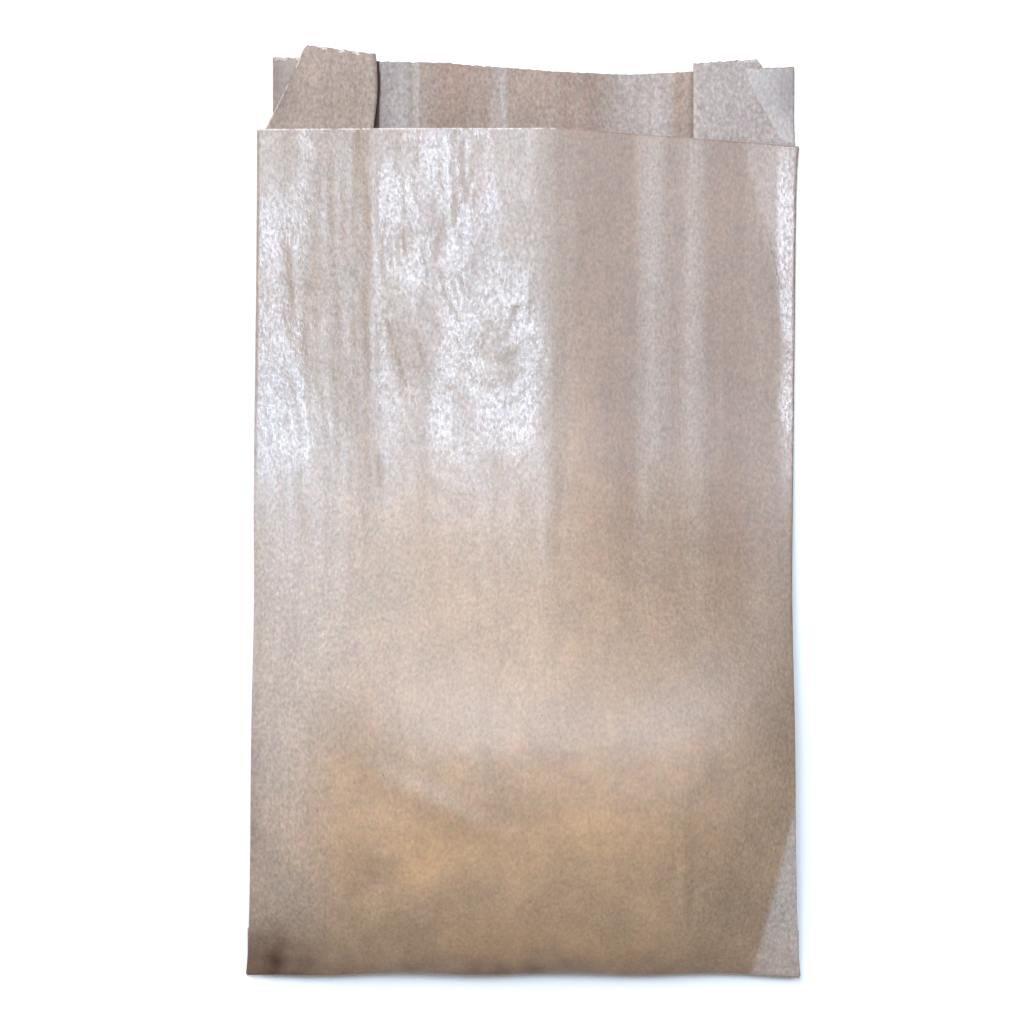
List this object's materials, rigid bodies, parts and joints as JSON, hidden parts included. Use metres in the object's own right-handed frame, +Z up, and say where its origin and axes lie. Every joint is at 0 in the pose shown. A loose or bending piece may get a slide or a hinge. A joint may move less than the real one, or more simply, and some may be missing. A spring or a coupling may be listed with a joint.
{
  "type": "croissant bag",
  "caption": "Side-gusseted brown paper bag with a croissant inside, lying on its back with the mouth pressed flat, cut lower at the front and with gusset tabs beside the back lip.",
  "frame": {"origin": "middle of the bounding box's underside, on the surface that the bag lies on", "axes": "+Y along the bag to its mouth, +Z up out of the shown front, +X to the right seen from above with the mouth at the top"},
  "size_m": [0.1522, 0.2556, 0.0284],
  "materials": {
    "kraft_paper": "satin"
  },
  "bodies": {
    "root": {"paper_bag": "kraft_paper"}
  },
  "joints": []
}
